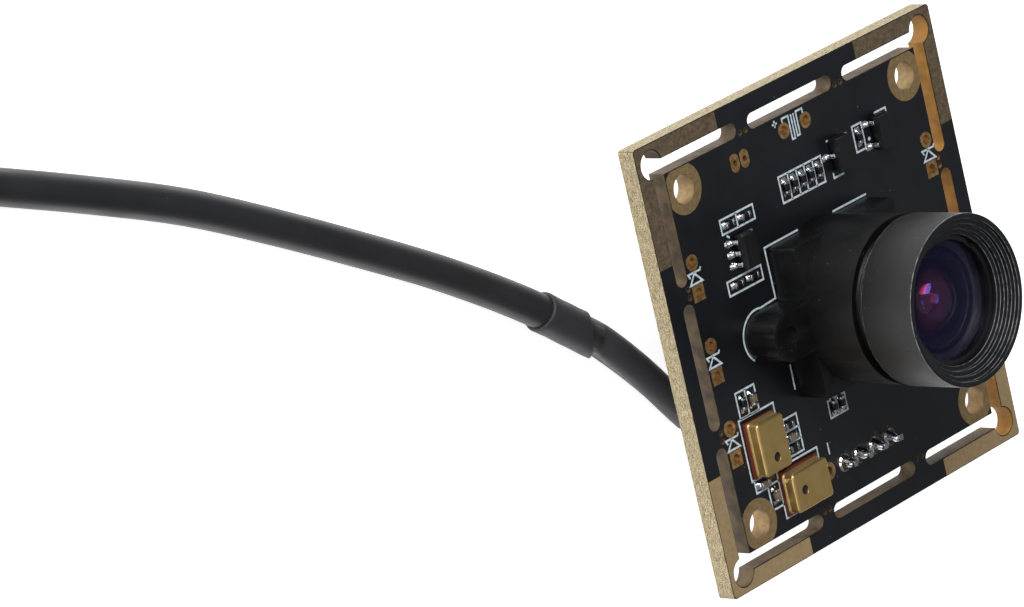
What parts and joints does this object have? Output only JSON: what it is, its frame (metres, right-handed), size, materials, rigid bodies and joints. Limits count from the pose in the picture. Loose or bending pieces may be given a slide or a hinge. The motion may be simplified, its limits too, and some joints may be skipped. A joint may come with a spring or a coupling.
{
  "type": "usb camera module",
  "caption": "Square USB camera circuit board with a screw-in lens in a moulded holder, gold microphones, a snap-off frame, and a coiled cable to a USB plug.",
  "frame": {"origin": "below the middle of the board, on the surface that the module's own wires and the cable rest on", "axes": "+Z along the lens axis, out of the lens; +X along the side of the board that runs along the pin row, towards the side away from the cable; +Y from the pin row towards the opposite side"},
  "size_m": [0.1507, 0.0763, 0.0262],
  "materials": {
    "solder_mask": "black satin solder mask on glass-fibre laminate",
    "gold_plate": "immersion gold over copper, satin",
    "pale_gold": "dull immersion gold",
    "black_moulding": "moulded, fine spark-eroded grain",
    "black_anodised": "black anodised",
    "coated_glass": "polished, with a violet coating",
    "clear_glass": "polished",
    "filter_glass": "polished, infrared cut coating",
    "blackened_shim": "matt black",
    "silicon": "package of the image sensor",
    "chip_epoxy": "moulded epoxy",
    "resistor_glaze": "black glaze",
    "capacitor_ceramic": "fired ceramic",
    "ferrite": "dull ferrite and resin",
    "tin": "reflowed tin",
    "solder": "bright solder",
    "screw_steel": "nickel plated",
    "crystal_lid": "plated steel",
    "mic_gold": "gold plated can, satin",
    "mic_laminate": "dark red laminate",
    "white_nylon": "natural moulding",
    "tinned_brass": "tinned",
    "red_wire": "insulation",
    "white_wire": "insulation",
    "green_wire": "insulation",
    "black_wire": "insulation",
    "black_wrap": "film wrap over the cores",
    "heat_shrink": "shrunk polyolefin",
    "cable_pvc": "flexible PVC, satin",
    "hook_strap": "woven strap",
    "plug_pvc": "moulded PVC, satin",
    "plug_shell": "nickel plated steel",
    "plug_tongue": "white thermoplastic",
    "plug_contact": "gold plated"
  },
  "bodies": {
    "module": {"circuit_board": "solder_mask", "corner_pads": "pale_gold", "mount_hole_rings": "pale_gold", "light_pads": "gold_plate", "header_pads": "gold_plate", "image_sensor": "silicon", "sensor_glass": "clear_glass", "lens_holder": "black_moulding", "holder_screws": "screw_steel", "infrared_filter": "filter_glass", "resistor_bodies": "resistor_glaze", "capacitor_bodies": "capacitor_ceramic", "chip_end_caps": "tin", "small_chip_bodies": "chip_epoxy", "small_chip_leads": "tin", "microphone_boards": "mic_laminate", "microphone_cans": "mic_gold", "solder_joints": "solder", "header_shroud": "white_nylon", "header_pins": "tinned_brass", "plug_housing": "white_nylon", "crimp_contacts": "tinned_brass", "wire_red": "red_wire", "wire_white": "white_wire", "wire_green": "green_wire", "wire_black": "black_wire", "control_chip": "chip_epoxy", "control_chip_pads": "tin", "memory_chip": "chip_epoxy", "memory_chip_leads": "tin", "crystal": "crystal_lid", "power_inductor": "ferrite", "wire_wrap": "black_wrap", "cable_sleeve": "heat_shrink", "cable_jacket": "cable_pvc", "cable_tail": "cable_pvc", "cable_coil": "cable_pvc", "coil_strap": "hook_strap", "usb_grip": "plug_pvc", "usb_shell": "plug_shell", "usb_tongue": "plug_tongue", "usb_contacts": "plug_contact"},
    "lens_travel": {"aperture_stop": "blackened_shim"},
    "lens": {"lens_barrel": "black_anodised", "front_retaining_ring": "black_anodised", "front_element": "coated_glass", "second_element": "coated_glass", "front_spacer": "blackened_shim", "crown_element": "clear_glass", "flint_element": "clear_glass", "rear_spacer": "blackened_shim", "rear_element": "coated_glass"}
  },
  "joints": [
    {"name": "focus_travel", "type": "slide", "parent": "module", "child": "lens_travel", "axis": [0, 0, 1], "range_m": [-0.0005, 0.0015]},
    {"name": "focus_turn", "type": "hinge", "parent": "lens_travel", "child": "lens", "pos_m": [0, 0, 0.0212], "axis": [0, 0, 1], "range_deg": [-361, 1081]}
  ],
  "couplings": [
    {"joint": "focus_turn", "follows": "focus_travel", "rad_per_m": 12566}
  ]
}
